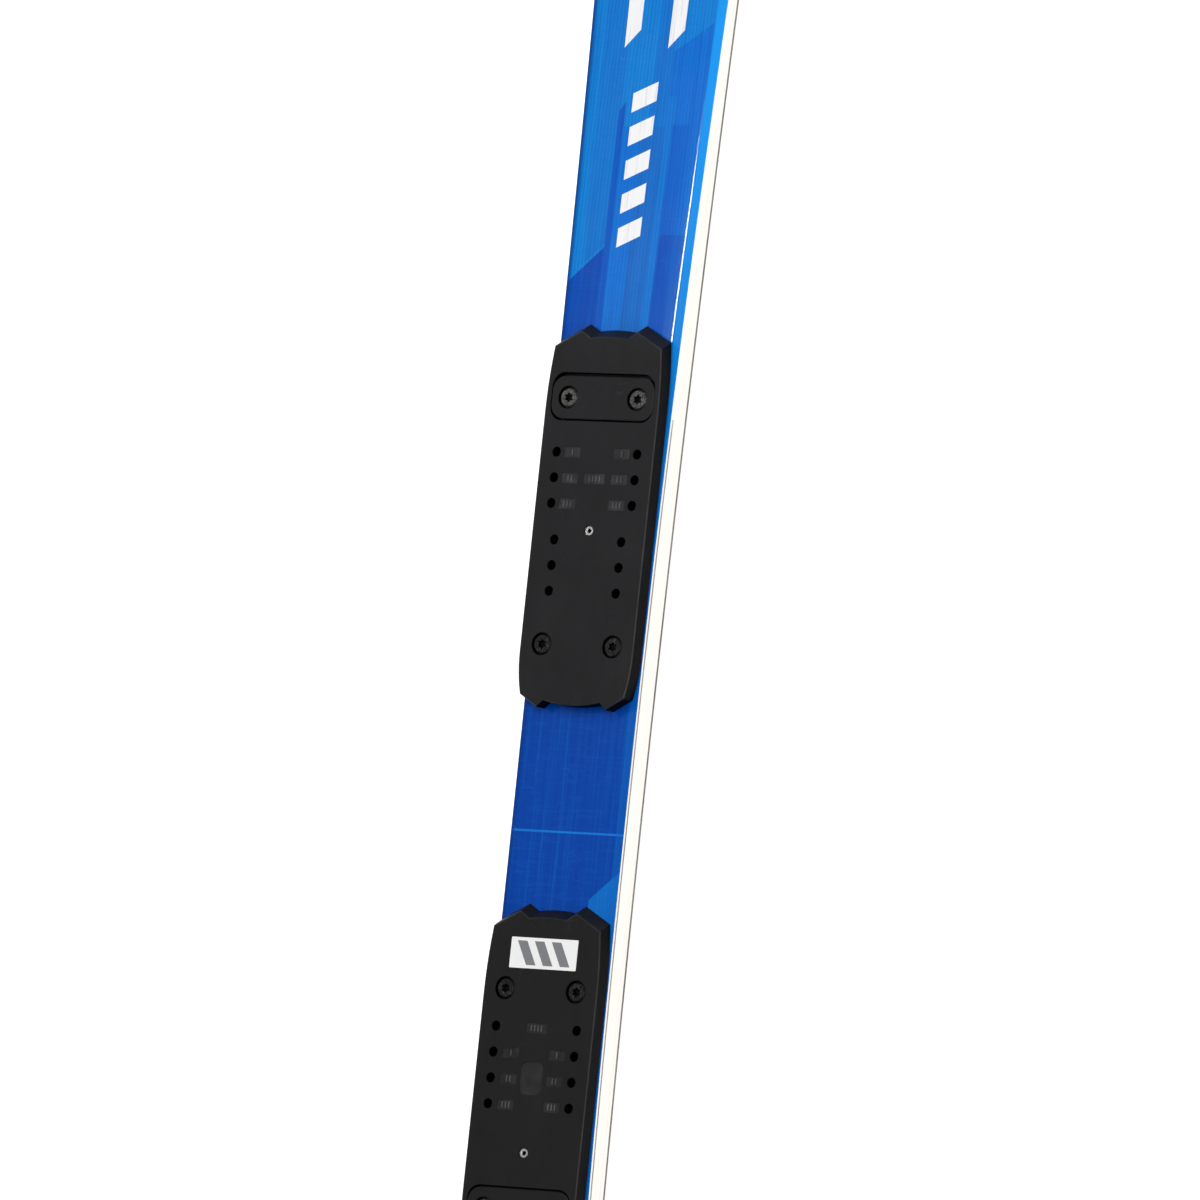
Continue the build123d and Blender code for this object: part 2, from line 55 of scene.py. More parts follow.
camera_back = (camera_place - camera_aim).normalized()
camera_up = (picture_up - camera_back * picture_up.dot(camera_back)).normalized()
camera_turn = Matrix((camera_up.cross(camera_back), camera_up, camera_back)).transposed()
camera = bpy.data.objects.new("camera", bpy.data.cameras.new("camera"))
camera.data.lens = lens_length
camera.data.sensor_width = 36.0
camera.data.clip_end = 60.0
camera.matrix_world = Matrix.Translation(camera_place) @ camera_turn.to_4x4()
bpy.context.scene.collection.objects.link(camera)
bpy.context.scene.camera = camera
bpy.context.scene.view_settings.view_transform = "Standard"


def soft_box(name, place, aim, size, power):
    """A large rectangular studio light, which the camera doesn't see."""
    light = bpy.data.lights.new(name, "AREA")
    light.shape = "RECTANGLE"
    light.size, light.size_y = size
    light.energy = power
    lamp = bpy.data.objects.new(name, light)
    lamp.location = place
    lamp.rotation_euler = (Vector(aim) - Vector(place)).to_track_quat("-Z", "Y").to_euler()
    lamp.visible_camera = False
    bpy.context.scene.collection.objects.link(lamp)


# name, place, aim, width and depth, watts
soft_box("overhead_box", (0.7, -0.9, 2.9), (0, 0, 0), (3.6, 1.1), 74)
soft_box("right_box", (-0.2, -3.2, 1.7), (0, 0, 0), (3.6, 1.2), 62)
soft_box("left_box", (0.2, 3.0, 1.3), (0, 0, 0), (3.4, 0.8), 24)
soft_box("tip_box", (3.4, 0.0, 1.6), (0, 0, 0), (1.4, 0.9), 12)
soft_box("tail_box", (-3.4, 0.0, 1.6), (0, 0, 0), (1.4, 0.9), 12)
soft_box("shoulder_strip", (0.660, 1.38, 2.6), (0.2, -0.03, 0), (0.23, 0.18), 6.0)

world = bpy.data.worlds.new("studio")
bpy.context.scene.world = world
world.use_nodes = True


def node(tree, kind, inputs=None, **settings):
    """A node with its settings, each input given as a value or as the output that feeds it."""
    made = tree.nodes.new(kind)
    for setting, value in settings.items():
        setattr(made, setting, value)
    for socket, value in (inputs or {}).items():
        if isinstance(value, bpy.types.NodeSocket):
            tree.links.new(value, made.inputs[socket])
        else:
            made.inputs[socket].default_value = value
    return made


world.node_tree.nodes.clear()
seen = node(world.node_tree, "ShaderNodeLightPath").outputs["Is Camera Ray"]
room = node(world.node_tree, "ShaderNodeBackground", {"Color": (0.75, 0.78, 0.82, 1), "Strength": 0.07})
backdrop = node(world.node_tree, "ShaderNodeBackground", {"Color": (0.95, 0.95, 0.95, 1), "Strength": 1.0})
both = node(world.node_tree, "ShaderNodeMixShader", {0: seen, 1: room.outputs[0], 2: backdrop.outputs[0]})
node(world.node_tree, "ShaderNodeOutputWorld", {"Surface": both.outputs[0]})


def paint(red, green, blue):
    """A colour from its three 8-bit display values."""
    def linear(value):
        share = value / 255
        return share / 12.92 if share <= 0.04045 else ((share + 0.055) / 1.055) ** 2.4
    return (linear(red), linear(green), linear(blue), 1.0)


def blank_material(name):
    """A material with an empty tree; returns the material and its tree."""
    material = bpy.data.materials.new(name)
    material.use_nodes = True
    material.node_tree.nodes.clear()
    return material, material.node_tree


def surface(tree, colour, roughness, bump=None, bump_size=0.05 * mm, **shader):
    """The Principled shader and the output; bump is a height from 0 to 1, bump_size its depth."""
    inputs = {"Base Color": colour, "Roughness": roughness}
    inputs.update({name.replace("_", " "): value for name, value in shader.items()})
    if bump is not None:
        relief = node(tree, "ShaderNodeBump", {"Height": bump, "Distance": bump_size, "Strength": 1.0})
        inputs["Normal"] = relief.outputs[0]
    principled = node(tree, "ShaderNodeBsdfPrincipled", inputs)
    node(tree, "ShaderNodeOutputMaterial", {"Surface": principled.outputs[0]})


def calc(tree, operation, first, second=0.0, third=0.0, clamp=False):
    """One step of arithmetic between outputs or numbers."""
    return node(
        tree, "ShaderNodeMath", {0: first, 1: second, 2: third}, operation=operation, use_clamp=clamp
    ).outputs[0]


def blended(tree, share, first, second, how="MIX"):
    """Two colours mixed by a share from 0 to 1."""
    return node(
        tree, "ShaderNodeMix", {0: share, 6: first, 7: second}, data_type="RGBA", blend_type=how
    ).outputs[2]


def spread(tree, value, low, high, start, end):
    """A value from low..high carried over to start..end, and held at both ends."""
    return node(tree, "ShaderNodeMapRange", {0: value, 1: low, 2: high, 3: start, 4: end}).outputs[0]


def here(tree):
    """The point on the piece, in metres from the ski's origin."""
    return node(tree, "ShaderNodeTexCoord").outputs["Object"]


def noise(tree, point, stretch, detail=3.0, rough=0.5):
    """Noise with so many cells per metre along x, y and z."""
    scaled = node(tree, "ShaderNodeVectorMath", {0: point, 1: stretch}, operation="MULTIPLY").outputs[0]
    inputs = {"Vector": scaled, "Scale": 1.0, "Detail": detail, "Roughness": rough}
    return node(tree, "ShaderNodeTexNoise", inputs).outputs["Fac"]


floor_size = 40.0
floor_glow = 0.72
floor_mesh = bpy.data.meshes.new("studio_floor")
corners = [(x * floor_size / 2, y * floor_size / 2, 0) for x, y in ((-1, -1), (1, -1), (1, 1), (-1, 1))]
floor_mesh.from_pydata(corners, [], [(0, 1, 2, 3)])
floor_piece = bpy.data.objects.new("studio_floor", floor_mesh)
bpy.context.scene.collection.objects.link(floor_piece)
floor_paint, tree = blank_material("pale_sweep")
mottle = noise(tree, here(tree), (6, 6, 6))
colour = blended(tree, mottle, (0.62, 0.62, 0.62, 1), (0.66, 0.66, 0.66, 1))
surface(tree, colour, 0.9, mottle, Emission_Color=(1, 1, 1, 1), Emission_Strength=floor_glow)
floor_mesh.materials.append(floor_paint)

# ---------------------------------------------------------------- running base
# Sintered black polyethylene, 1.2 mm thick, glued under the edges and ground with fine lengthwise structure.
# Its outline is the ski's own: an arc for the sidecut, a round nose and rounded tail corners.
half_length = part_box("topsheet")[1].x
mark_x = -75 * mm
waist_x = -80 * mm
waist_width = 66.7 * mm
sidecut_radius = 15.5
shovel_x = half_length - 170 * mm
tail_x = 80 * mm - half_length
shovel_flare, tail_flare, flare_power = 4.4 * mm, 2.0 * mm, 6
crest_length, crest_depth = 60 * mm, 2.5 * mm
nose_length = half_length - shovel_x
nose_sweep, nose_run_power, nose_roundness = radians(85), 1.18, 0.6
tail_corner = 24 * mm
contact_front = half_length - 135 * mm
contact_back = 65 * mm - half_length
tip_rise, tail_rise, rise_power = 45 * mm, 8 * mm, 2.2
camber = 2.5 * mm
end_thickness, binding_swell = 4.5 * mm, 9 * mm
swell_reach, swell_power = 401 * mm, 3.4
edge_front = half_length - 90 * mm
edge_back = 35 * mm - half_length
core_front = half_length - 185 * mm
core_back = 65 * mm - half_length
base_thickness = 1.2 * mm
edge_height = 1.6 * mm
edge_width = 2 * mm
topsheet_thickness = 0.5 * mm
sidewall_lean = 0.115


def sidecut(x):
    """Half width of the sidecut: an arc that flares a little towards both ends."""
    run = x - waist_x
    reach, flare = (shovel_x - waist_x, shovel_flare) if run > 0 else (waist_x - tail_x, tail_flare)
    crest = max(0.0, x - (shovel_x - crest_length)) / crest_length
    arc = waist_width / 2 + run**2 / (2 * sidecut_radius)
    return arc + flare * (abs(run) / reach) ** flare_power - crest_depth * crest**2


def half_width(x):
    """Half width over the steel edges, with the round nose and the round tail corners."""
    if x > shovel_x:
        along = ((x - shovel_x) / nose_length) ** nose_run_power * sin(nose_sweep)
        return sidecut(shovel_x) * (1 - along**2) ** nose_roundness
    corner = max(0.0, tail_corner - (x + half_length))
    return sidecut(x) - tail_corner + sqrt(max(0.0, tail_corner**2 - corner**2))


def base_height(x):
    """Height of the running surface: camber between the contacts, rising at both ends."""
    middle, half_span = (contact_front + contact_back) / 2, (contact_front - contact_back) / 2
    if x > contact_front:
        return tip_rise * ((x - contact_front) / (half_length - contact_front)) ** rise_power
    if x < contact_back:
        return tail_rise * ((contact_back - x) / (half_length + contact_back)) ** rise_power
    return camber * (1 - ((x - middle) / half_span) ** 2) ** 2


def thickness(x):
    """Thickness of the ski: full at the binding, thinning smoothly to both ends."""
    return end_thickness + binding_swell / (1 + (abs(x - mark_x) / swell_reach) ** swell_power)


def top_height(x):
    """Height of the ski's top."""
    return base_height(x) + thickness(x)


def top_half_width(x):
    """Half width of the topsheet, which the leaning sidewall brings in from the edge."""
    return half_width(x) - sidewall_lean * (thickness(x) - edge_height)


def stations(start, end):
    """Places of cross-sections along the ski, closer together round the nose and the tail."""
    tail_steps, nose_steps, pitch, gap = 12, 48, 8 * mm, 0.2 * mm
    tail = [tail_corner * (step / tail_steps) ** 2 - half_length for step in range(tail_steps + 1)]
    nose = [half_length - nose_length * (1 - step / nose_steps) ** 1.8 for step in range(nose_steps + 1)]
    count = round((shovel_x - tail[-1]) / pitch)
    body = [tail[-1] + (shovel_x - tail[-1]) * step / count for step in range(1, count)]
    inner = [x for x in tail + body + nose if start + gap < x < end - gap]
    return [start, *inner, end]


def placed(name, mesh, body, material, crease=30):
    """A finished piece: smooth but for its creases, with its material, riding on its body."""
    piece = bpy.data.objects.new(name, mesh)
    bpy.context.scene.collection.objects.link(piece)
    mesh.materials.append(material)
    mesh.shade_smooth()
    mesh.set_sharp_from_angle(angle=radians(crease))
    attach(piece, body)
    return piece


def skin(shell, rings):
    """A closed skin through rings of corners, capped at both ends."""
    for near, far in zip(rings, rings[1:]):
        for i in range(len(near)):
            j = (i + 1) % len(near)
            shell.faces.new((near[i], near[j], far[j], far[i]))
    shell.faces.new(reversed(rings[0]))
    shell.faces.new(rings[-1])


def shell_mesh(name, shell):
    """The mesh of a finished shell, with every face turned outwards."""
    bmesh.ops.recalc_face_normals(shell, faces=shell.faces)
    mesh = bpy.data.meshes.new(name)
    shell.to_mesh(mesh)
    shell.free()
    return mesh


def long_mesh(name, runs):
    """Mesh of a long piece. Each run is (section, start, end): cross-section corners (y, z) at each x."""
    shell = bmesh.new()
    for section, start, end in runs:
        skin(shell, [[shell.verts.new((x, y, z)) for y, z in section(x)] for x in stations(start, end)])
    return shell_mesh(name, shell)


def flat_section(inset, low, high):
    """A flat layer between two heights above the running surface, with tiny bevels outside."""
    def section(x):
        y, floor = half_width(x) - inset, base_height(x)
        bevel = 0.12 * mm
        half = [(y - bevel, floor + low), (y, floor + low + bevel), (y, floor + high)]
        return half + [(-y, z) for y, z in reversed(half)]
    return section


def group(name, inputs, outputs):
    """An empty node group with its named inputs and outputs; returns it, its entry and its exit."""
    made = bpy.data.node_groups.new(name, "ShaderNodeTree")
    for label, kind, default in inputs:
        socket = made.interface.new_socket(label, in_out="INPUT", socket_type=f"NodeSocket{kind}")
        if default is not None:
            socket.default_value = default
    for label, kind in outputs:
        made.interface.new_socket(label, in_out="OUTPUT", socket_type=f"NodeSocket{kind}")
    entry = made.nodes.new("NodeGroupInput")
    leave = made.nodes.new("NodeGroupOutput")
    return made, entry.outputs, leave


def use(tree, made, **inputs):
    """A node group placed in a material, with its own values."""
    values = {name.replace("_", " "): value for name, value in inputs.items()}
    return node(tree, "ShaderNodeGroup", values, node_tree=made).outputs


# Fine lines that run along the ski: print streaks, milling, grinding and brushing.
lengthwise_lines, entry, leave = group(
    "lengthwise_lines",
    [("Point", "Vector", None), ("Lines per metre", "Float", 3000.0), ("Length share", "Float", 0.01)],
    [("Lines", "Float"), ("Broad lines", "Float"), ("Patches", "Float")],
)
tree = lengthwise_lines
along_scale = calc(tree, "MULTIPLY", entry["Lines per metre"], entry["Length share"])
for output, share, detail in (("Lines", 1.0, 3.0), ("Broad lines", 0.22, 2.0), ("Patches", 0.05, 3.0)):
    scales = node(
        tree,
        "ShaderNodeCombineXYZ",
        {
            0: calc(tree, "MULTIPLY", along_scale, share),
            1: calc(tree, "MULTIPLY", entry["Lines per metre"], share),
            2: calc(tree, "MULTIPLY", entry["Lines per metre"], share),
        },
    ).outputs[0]
    field = noise(tree, entry["Point"], scales, detail, 0.6)
    tree.links.new(spread(tree, field, 0.28, 0.72, 0.0, 1.0), leave.inputs[output])

# Marks of use: hairline scratches in all directions, and dull patches from hands and straps.
use_marks, entry, leave = group(
    "use_marks",
    [("Point", "Vector", None), ("Scratches per metre", "Float", 260.0)],
    [("Scratches", "Float"), ("Dullness", "Float")],
)
tree = use_marks
swirl = node(tree, "ShaderNodeTexNoise", {"Vector": entry["Point"], "Scale": 14.0, "Detail": 2.0})
bent = node(
    tree,
    "ShaderNodeVectorMath",
    {0: swirl.outputs["Color"], 1: (0.03,) * 3, 2: entry["Point"]},
    operation="MULTIPLY_ADD",
)
cells = node(
    tree,
    "ShaderNodeTexVoronoi",
    {"Vector": bent.outputs[0], "Scale": entry["Scratches per metre"]},
    feature="DISTANCE_TO_EDGE",
).outputs["Distance"]
thin = spread(tree, cells, 0.0, 0.018, 1.0, 0.0)
some = spread(tree, noise(tree, entry["Point"], (60,) * 3), 0.52, 0.62, 0.0, 1.0)
tree.links.new(calc(tree, "MULTIPLY", thin, some), leave.inputs["Scratches"])
handled = noise(tree, entry["Point"], (35,) * 3, 4.0)
tree.links.new(spread(tree, handled, 0.35, 0.7, 0.0, 1.0), leave.inputs["Dullness"])


def scratched(tree, colour, marks, share, pale):
    """A colour with its hairline scratches rubbed paler."""
    return blended(tree, calc(tree, "MULTIPLY", marks["Scratches"], share), colour, pale)


base_plastic, tree = blank_material("ground_base")
ground = use(tree, lengthwise_lines, Point=here(tree), Lines_per_metre=2500.0, Length_share=0.004)
marks = use(tree, use_marks, Point=here(tree))
colour = blended(tree, ground["Broad lines"], paint(30, 31, 33), paint(42, 43, 46))
colour = scratched(tree, colour, marks, 0.35, paint(96, 97, 100))
relief = calc(tree, "MULTIPLY_ADD", marks["Scratches"], -0.5, ground["Lines"])
surface(tree, colour, spread(tree, ground["Patches"], 0, 1, 0.34, 0.55), relief, 0.03 * mm)

base_mesh = long_mesh(
    "running_base",
    [
        (flat_section(0, 0, base_thickness), -half_length, edge_back),
        (flat_section(edge_width, 0, base_thickness), edge_back, edge_front),
        (flat_section(0, 0, base_thickness), edge_front, half_length),
    ],
)
base_piece = placed("running_base", base_mesh, "ski", base_plastic)
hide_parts("base")

# ---------------------------------------------------------------- steel edges
# Hardened carbon steel, an L section whose thin flange is glued under the core.
# Ground from below and filed from the side, so its lines run lengthwise; the outer faces darken in use.
flange_reach = 6 * mm

edge_steel, tree = blank_material("filed_steel")
filed = use(tree, lengthwise_lines, Point=here(tree), Lines_per_metre=6000.0, Length_share=0.003)
stain = noise(tree, here(tree), (40, 200, 200), 4.0, 0.6)
colour = blended(tree, filed["Lines"], paint(84, 80, 76), paint(126, 122, 118))
colour = blended(tree, spread(tree, stain, 0.5, 0.75, 0.0, 0.6), colour, paint(62, 54, 48))
roughness = calc(tree, "MULTIPLY_ADD", filed["Broad lines"], 0.16, spread(tree, stain, 0.3, 0.8, 0.3, 0.5))
surface(tree, colour, roughness, filed["Lines"], 0.01 * mm, Metallic=1.0)


def edge_section(side):
    """L-shaped steel edge: a blade outside with broken corners, a thin anchor flange inside."""
    def section(x):
        low, step, high = (base_height(x) + h for h in (0, base_thickness, edge_height))
        outer, blade, anchor = (half_width(x) - w for w in (0, edge_width, flange_reach))
        broken = 0.12 * mm
        corners = [
            (outer - broken, low), (outer, low + broken), (outer, high - broken), (outer - broken, high),
            (anchor, high), (anchor, step), (blade, step), (blade, low),
        ]
        return [(side * y, z) for y, z in corners]
    return section


for name, side in (("left", 1), ("right", -1)):
    mesh = long_mesh(f"edge_{name}", [(edge_section(side), edge_back, edge_front)])
    piece = placed(f"edge_{name}", mesh, "ski", edge_steel)
    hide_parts(f"steel_edge_{name}")

# ---------------------------------------------------------------- sidewalls
# White phenolic strips, planed to a lean, with one thin line milled under the topsheet beside the binding.
# The milling leaves fine lengthwise lines, and the line itself is painted grey as shade.
sidewall_width = 7.5 * mm
rebate_width = 2.5 * mm
core_floor = 2.3 * mm
line_below_top = 1.5 * mm
line_width = 1.0 * mm
line_depth = 0.45 * mm
line_fade = 6 * mm
line_front = mark_x + 200 * mm
line_back = mark_x - 215 * mm


def sidewall_section(side):
    """Leaning outer face with the milled line, which fades in at both of its ends."""
    def section(x):
        lip, floor, top = base_height(x) + edge_height, base_height(x) + core_floor, top_height(x)
        top -= topsheet_thickness
        outer, crown = half_width(x), top_half_width(x)
        share = min(1.0, max(0.0, (line_front - x) / line_fade), max(0.0, (x - line_back) / line_fade))
        line_top = top_height(x) - line_below_top
        lean = (outer - crown) / (top - lip)
        half = [(outer, lip)]
        line_low, lowest = line_top - line_width, lip + 0.5 * (top - lip)
        for z, depth in ((line_low, 0), (line_low, 1), (line_top, 1), (line_top, 0)):
            z = max(z, lowest)
            half.append((outer - lean * (z - lip) - depth * share * line_depth, z + depth * 0.02 * mm))
        corners = half + [
            (crown, top), (outer - sidewall_width, top), (outer - sidewall_width, floor),
            (outer - rebate_width, floor), (outer - rebate_width, lip),
        ]
        return [(side * y, z) for y, z in corners]
    return section


sidewall_plastic, tree = blank_material("planed_sidewall")
planed = use(tree, lengthwise_lines, Point=here(tree), Lines_per_metre=2200.0, Length_share=0.006)
marks = use(tree, use_marks, Point=here(tree), Scratches_per_metre=420.0)
colour = blended(tree, planed["Broad lines"], paint(224, 221, 215), paint(234, 231, 226))
colour = scratched(tree, colour, marks, 0.25, paint(170, 166, 158))
colour = blended(tree, calc(tree, "MULTIPLY", planed["Patches"], 0.12), colour, paint(214, 208, 196))
roughness = calc(tree, "MULTIPLY_ADD", marks["Dullness"], 0.15, 0.36)
surface(tree, colour, roughness, planed["Lines"], 0.012 * mm)

# Painted shade: the milled line is painted grey, darker than the sidewall.
line_shade, tree = blank_material("milled_line_shade")
planed = use(tree, lengthwise_lines, Point=here(tree), Lines_per_metre=2200.0, Length_share=0.02)
colour = blended(tree, planed["Lines"], paint(150, 145, 135), paint(182, 177, 168))
surface(tree, colour, spread(tree, planed["Patches"], 0, 1, 0.55, 0.8), planed["Lines"], 0.02 * mm)

for name, side in (("left", 1), ("right", -1)):
    mesh = long_mesh(f"sidewall_strip_{name}", [(sidewall_section(side), core_back, core_front)])
    piece = placed(f"sidewall_strip_{name}", mesh, "ski", sidewall_plastic, 20)
    mesh.materials.append(line_shade)
    # The milled line's faces take the grey painted shade.
    for face in mesh.polygons:
        middle = face.center
        outside = half_width(middle.x) - sidewall_lean * (middle.z - base_height(middle.x) - edge_height)
        if 0.15 * mm < outside - abs(middle.y) < 1.5 * mm and line_back < middle.x < line_front:
            below_line = top_height(middle.x) - middle.z - line_below_top
            face.material_index = int(-0.1 * mm < below_line < line_width + 0.1 * mm)
    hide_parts(f"sidewall_{name}")

# ---------------------------------------------------------------- tip and tail fillings
# Black moulded spacers fill the tip and the tail beyond the wood core; a tougher protector closes the tail.
# They are glued in as the ski is pressed, then planed flush with the sidewalls.
moulded_grain, entry, leave = group(
    "moulded_grain",
    [("Point", "Vector", None), ("Grains per metre", "Float", 3500.0)],
    [("Grain", "Float"), ("Flow", "Float")],
)
tree = moulded_grain
cells = node(tree, "ShaderNodeTexVoronoi", {"Vector": entry["Point"], "Scale": entry["Grains per metre"]})
fine = node(
    tree,
    "ShaderNodeTexNoise",
    {"Vector": entry["Point"], "Scale": entry["Grains per metre"], "Detail": 3.0},
)
fine_share = calc(tree, "MULTIPLY", fine.outputs["Fac"], 0.4)
grain = calc(tree, "MULTIPLY_ADD", cells.outputs["Distance"], 0.6, fine_share)
tree.links.new(grain, leave.inputs["Grain"])
flow = noise(tree, entry["Point"], (28, 60, 60), 4.0, 0.55)
tree.links.new(spread(tree, flow, 0.3, 0.7, 0.0, 1.0), leave.inputs["Flow"])

spacer_plastic, tree = blank_material("moulded_spacer")
planed = use(tree, lengthwise_lines, Point=here(tree), Lines_per_metre=1800.0, Length_share=0.01)
marks = use(tree, use_marks, Point=here(tree))
colour = blended(tree, planed["Patches"], paint(26, 26, 28), paint(38, 38, 41))
colour = scratched(tree, colour, marks, 0.3, paint(90, 90, 92))
surface(tree, colour, spread(tree, marks["Dullness"], 0, 1, 0.4, 0.6), planed["Lines"], 0.02 * mm)


def rebated_section(x):
    """Spacer beside the core: full width, rebated below for the lower sheets."""
    lip, floor, top = base_height(x) + edge_height, base_height(x) + core_floor, top_height(x)
    half = [
        (top_half_width(x), top - topsheet_thickness),
        (half_width(x), lip),
        (half_width(x) - rebate_width, lip),
        (half_width(x) - rebate_width, floor),
    ]
    return half + [(-y, z) for y, z in reversed(half)]


def solid_section(x):
    """Filling beyond the steel edges, from the base to the topsheet."""
    low, high = base_height(x) + base_thickness, top_height(x) - topsheet_thickness
    outer, crown = half_width(x), top_half_width(x)
    return [(-outer, low), (outer, low), (crown, high), (-crown, high)]


for name, runs in (
    ("tip_spacer", [(rebated_section, core_front, edge_front), (solid_section, edge_front, half_length)]),
    ("tail_spacer", [(rebated_section, edge_back, core_back)]),
    ("tail_protector", [(solid_section, -half_length, edge_back)]),
):
    piece = placed(f"{name}_fill", long_mesh(f"{name}_fill", runs), "ski", spacer_plastic)
    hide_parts(name)

# ---------------------------------------------------------------- inner layers
# Rubber strips, glass laminates, alloy sheets and the laminated ash and poplar core, pressed in a mould.
# They show only where the ski is cut or its layers are drawn apart.
wood_rings, entry, leave = group(
    "wood_rings",
    [("Point", "Vector", None), ("Ring width", "Float", 0.002)],
    [("Rings", "Float"), ("Pores", "Float")],
)
tree = wood_rings
warp = noise(tree, entry["Point"], (3, 30, 30), 3.0)
across = node(tree, "ShaderNodeSeparateXYZ", {0: entry["Point"]}).outputs
grown = calc(tree, "ADD", across[1], calc(tree, "MULTIPLY", across[2], 0.4))
grown = calc(tree, "MULTIPLY_ADD", warp, 0.012, grown)
rings = calc(tree, "FRACT", calc(tree, "DIVIDE", grown, entry["Ring width"]))
tree.links.new(calc(tree, "POWER", rings, 3.0), leave.inputs["Rings"])
pores = noise(tree, entry["Point"], (90, 3500, 3500), 3.0, 0.6)
tree.links.new(spread(tree, pores, 0.45, 0.7, 0.0, 1.0), leave.inputs["Pores"])


def wood(name, early, late, ring_width):
    """Planed timber with its growth rings and pores."""
    material, tree = blank_material(name)
    growth = use(tree, wood_rings, Point=here(tree), Ring_width=ring_width)
    colour = blended(tree, growth["Rings"], early, late)
    colour = blended(tree, calc(tree, "MULTIPLY", growth["Pores"], 0.4), colour, late, "MULTIPLY")
    surface(tree, colour, spread(tree, growth["Rings"], 0, 1, 0.6, 0.45), growth["Pores"], -0.05 * mm)
    return material


def lined(name, light, dark, rough, lines, metal=0.0, depth=0.01 * mm):
    """A sheet finish with lengthwise lines between two colours."""
    material, tree = blank_material(name)
    brushed = use(tree, lengthwise_lines, Point=here(tree), Lines_per_metre=lines, Length_share=0.01)
    colour = blended(tree, brushed["Lines"], dark, light)
    roughness = spread(tree, brushed["Patches"], 0, 1, rough - 0.08, rough + 0.08)
    surface(tree, colour, roughness, brushed["Lines"], depth, Metallic=metal)
    return material


def rubber(name, dark, light):
    """Matte rubber with a fine talc bloom."""
    material, tree = blank_material(name)
    texture = use(tree, moulded_grain, Point=here(tree), Grains_per_metre=2600.0)
    colour = blended(tree, texture["Flow"], dark, light)
    surface(tree, colour, spread(tree, texture["Grain"], 0, 1, 0.7, 0.9), texture["Grain"], 0.03 * mm)
    return material


def glass_cloth():
    """Woven glass in clear resin: two crossing sets of fine threads."""
    material, tree = blank_material("glass_in_resin")
    point = node(tree, "ShaderNodeSeparateXYZ", {0: here(tree)}).outputs
    threads = [
        spread(tree, calc(tree, "SINE", calc(tree, "MULTIPLY", point[i], 2 * pi / (1.6 * mm))), -1, 1, 0, 1)
        for i in (0, 1)
    ]
    weave = calc(tree, "MULTIPLY", *threads)
    colour = blended(tree, weave, paint(176, 180, 150), paint(222, 224, 204))
    surface(tree, colour, spread(tree, weave, 0, 1, 0.35, 0.2), weave, 0.04 * mm)
    return material


inner_finishes = {
    "core_ash_stringers": wood("ash", paint(222, 197, 156), paint(181, 146, 101), 2.2 * mm),
    "core_poplar_stringers": wood("poplar", paint(232, 216, 182), paint(206, 182, 140), 3.6 * mm),
    "edge_damping_strips": rubber("damping_rubber", paint(34, 34, 36), paint(48, 48, 50)),
}
sheet_alloy = lined("rolled_alloy", paint(208, 209, 212), paint(176, 178, 182), 0.32, 5000.0, 1.0)
glass_laminate = glass_cloth()
for name in ("lower_metal_sheet", "upper_metal_sheet", "binding_reinforcement"):
    inner_finishes[name] = sheet_alloy
for name in ("lower_glass_laminate", "upper_glass_laminate"):
    inner_finishes[name] = glass_laminate


def finished(name, material):
    """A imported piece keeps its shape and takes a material."""
    nodes[name].data.materials.clear()
    nodes[name].data.materials.append(material)


for name, material in inner_finishes.items():
    finished(name, material)

# ---------------------------------------------------------------- topsheet
# Clear glossy plastic over a printed blue foil, 0.5 mm thick, planed flush with the sidewalls.
# The print has long facets of lighter and darker blue with slanted ends.
# The outer 5 mm on each side fall away to a round edge.
shoulder_width = 5 * mm
shoulder_drop = 0.3 * mm
shoulder_ease, ease_step, ease_drop = 0.6 * mm, 0.4 * mm, 0.06
rim_radius, rim_flatness = 0.45 * mm, 0.4


def crown_profile(x):
    """Half of the topsheet's upper outline, as corners (y, z) from the middle outwards."""
    crown, high = top_half_width(x), top_height(x)
    shoulder = min(shoulder_width, 0.4 * crown)
    drop = shoulder_drop * shoulder / shoulder_width
    flat = crown - shoulder - shoulder_ease
    points = [(share * flat, high) for share in (0, 0.25, 0.5, 0.75, 1)]
    for step in (1, 2, 3):
        points.append((flat + step * ease_step, high - drop * ease_drop * step**2 / 4))
    for turn in (0, 22.5, 45, 67.5, 90):
        y = crown - rim_radius * (1 - sin(radians(turn)))
        points.append((y, high - drop - rim_radius * (1 - cos(radians(turn))) * rim_flatness))
    return points


def topsheet_section(x):
    """Closed cross-section of the topsheet."""
    upper = crown_profile(x)
    low = (top_half_width(x), top_height(x) - topsheet_thickness)
    return [low, *reversed(upper)] + [(-y, z) for y, z in upper[1:]] + [(-low[0], low[1])]


# Mask of one printed facet: a strip between two shares of the width, with a slanted front and back end.
printed_facet, entry, leave = group(
    "printed_facet",
    [
        ("Along", "Float", 0.0), ("Across", "Float", 0.0), ("Left", "Float", 0.0), ("Right", "Float", 1.0),
        ("Front", "Float", 1.0), ("Back", "Float", -1.0), ("Front slant", "Float", 0.0),
        ("Back slant", "Float", 0.0), ("Blur", "Float", 0.006),
    ],
    [("Mask", "Float")],
)
tree = printed_facet
inside = calc(tree, "SUBTRACT", entry["Across"], entry["Left"])
sides = calc(tree, "MINIMUM", inside, calc(tree, "SUBTRACT", entry["Right"], entry["Across"]))
side_mask = calc(tree, "DIVIDE", sides, entry["Blur"], clamp=True)
front = calc(tree, "MULTIPLY_ADD", inside, entry["Front slant"], entry["Front"])
back = calc(tree, "MULTIPLY_ADD", inside, entry["Back slant"], entry["Back"])
to_front = calc(tree, "SUBTRACT", front, entry["Along"])
to_back = calc(tree, "SUBTRACT", entry["Along"], back)
ends = calc(tree, "MINIMUM", to_front, to_back)
